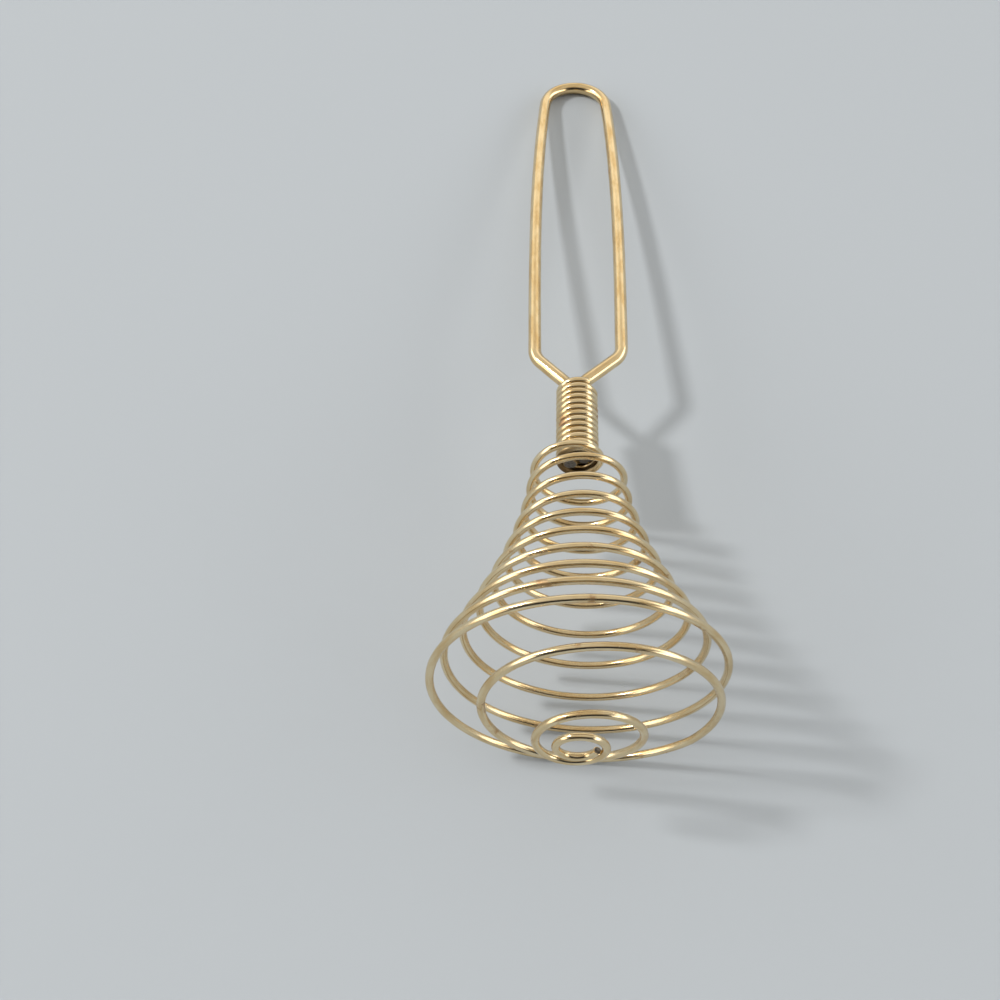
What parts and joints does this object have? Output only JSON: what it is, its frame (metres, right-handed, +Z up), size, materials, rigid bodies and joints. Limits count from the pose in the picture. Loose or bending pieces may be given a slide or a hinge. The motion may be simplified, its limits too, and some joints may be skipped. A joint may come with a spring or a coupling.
{
  "type": "french coil whisk",
  "caption": "Hand whisk with a looped wire handle and a springy bell-shaped coil of thinner wire, pressed and let go to beat eggs, cream or sauce.",
  "frame": {"origin": "middle of the bounding box in plan, on the table that the whisk lies on", "axes": "+Z up from the table, +Y from the coil's foot towards the far bend of the handle, +X to the right when looking along +Y with the coil near"},
  "size_m": [0.0574, 0.2038, 0.0568],
  "materials": {
    "handle_wire": "polished",
    "coil_wire": "polished, lightly tarnished"
  },
  "bodies": {
    "handle": {"handle_loop": "handle_wire"},
    "coil": {"whisk_coil": "coil_wire"}
  },
  "joints": [
    {"name": "coil_press", "type": "slide", "parent": "handle", "child": "coil", "axis": [0, 0.9898, -0.1422], "range_m": [0, 0.025], "stiffness_N_per_m": 100, "deforming": ["whisk_coil"]}
  ]
}
